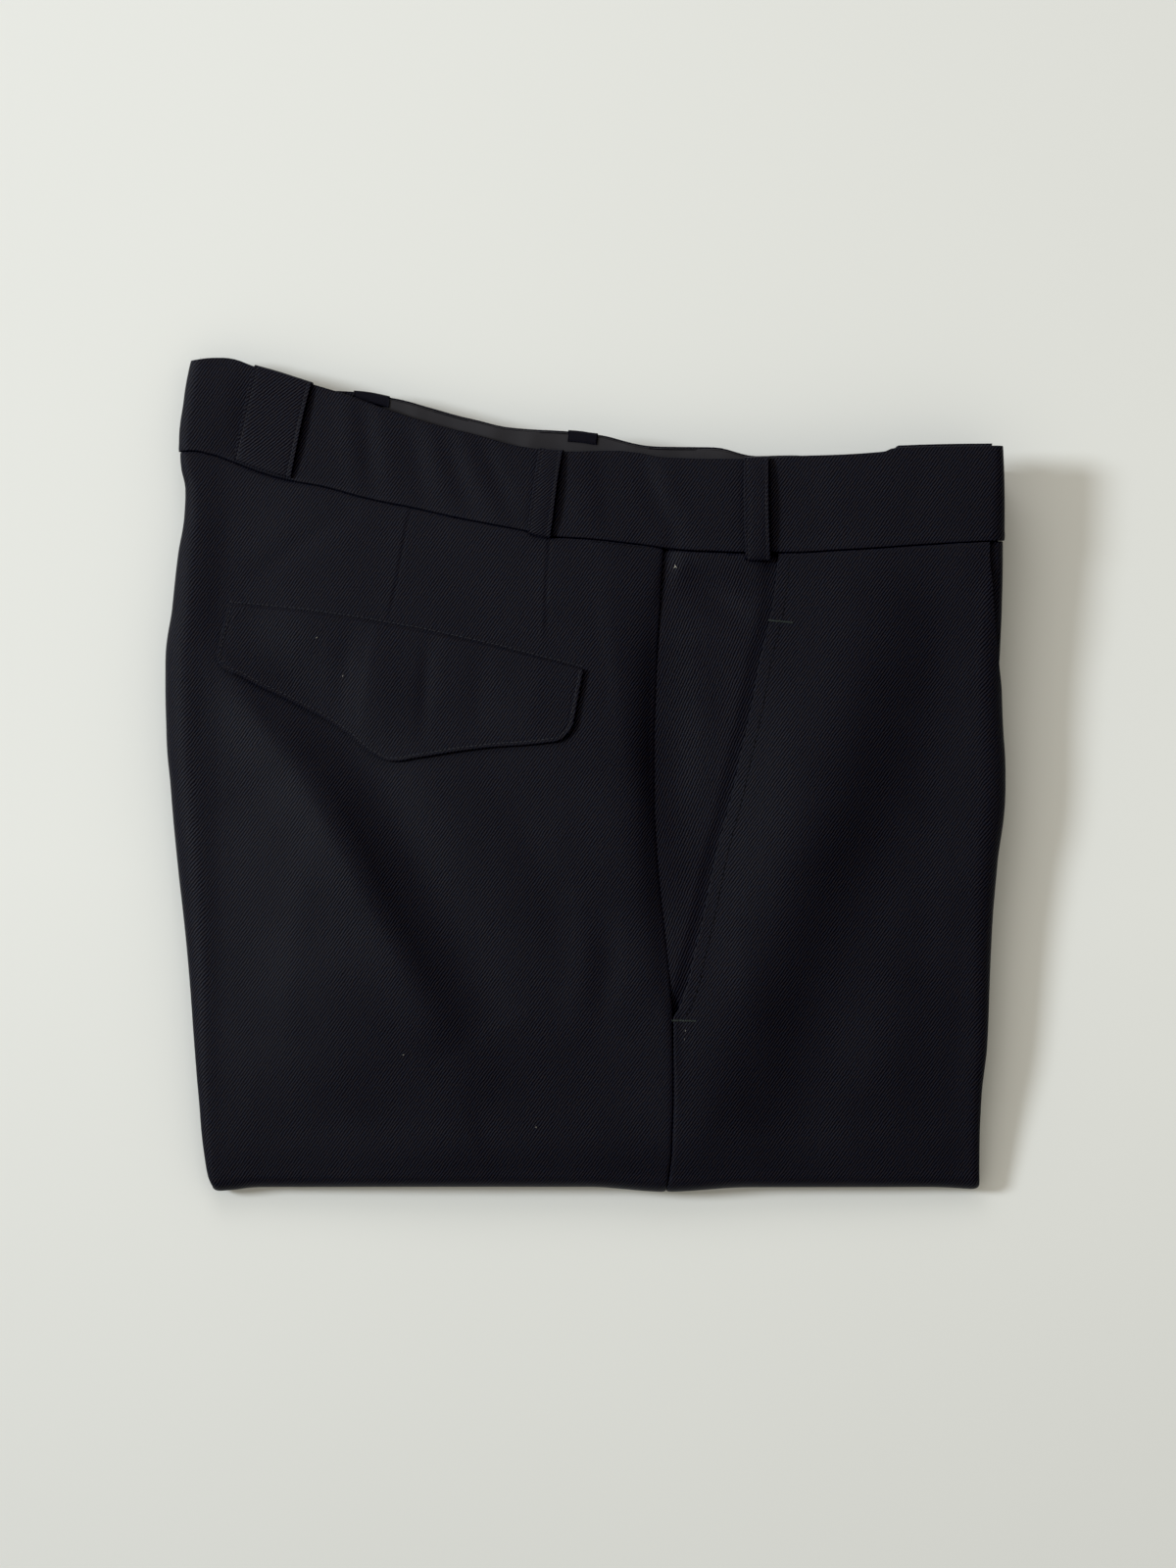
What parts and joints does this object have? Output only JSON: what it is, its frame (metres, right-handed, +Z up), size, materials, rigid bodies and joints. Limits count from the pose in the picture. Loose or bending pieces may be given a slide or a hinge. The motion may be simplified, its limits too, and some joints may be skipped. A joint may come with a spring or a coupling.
{
  "type": "folded dress trousers",
  "caption": "Navy wool dress trousers laid on one side and folded in three, with waistband, belt loops, flapped back pocket and slanted side pocket.",
  "frame": {"origin": "middle of the laid garment's bounding box, on the surface it lies on", "axes": "+X from the seat edge to the fly edge, +Y from the bottom fold of the legs to the waist, +Z up from the table"},
  "size_m": [0.3855, 0.3841, 0.0366],
  "materials": {
    "wool_twill": "navy wool twill, matt with a faint sheen",
    "lining": "charcoal waistband lining, satin",
    "thread": "navy sewing thread",
    "bar_tack": "grey-green bar tack thread",
    "lint": "pale fibre and thread ends"
  },
  "bodies": {
    "root": {"back_panel_right": "wool_twill", "front_panel_right": "wool_twill", "front_panel_left": "wool_twill", "pocket_facing_right": "wool_twill", "pocket_flap_right": "wool_twill", "waistband_right": "wool_twill", "waistband_left": "wool_twill", "waistband_lining_left": "lining", "waistband_tab_right": "wool_twill", "belt_loop_back_right": "wool_twill", "belt_loop_side_right": "wool_twill", "belt_loop_front_right": "wool_twill", "belt_loop_back_left": "wool_twill", "belt_loop_side_left": "wool_twill", "belt_loop_front_left": "wool_twill", "folded_layers": "wool_twill"}
  },
  "joints": []
}
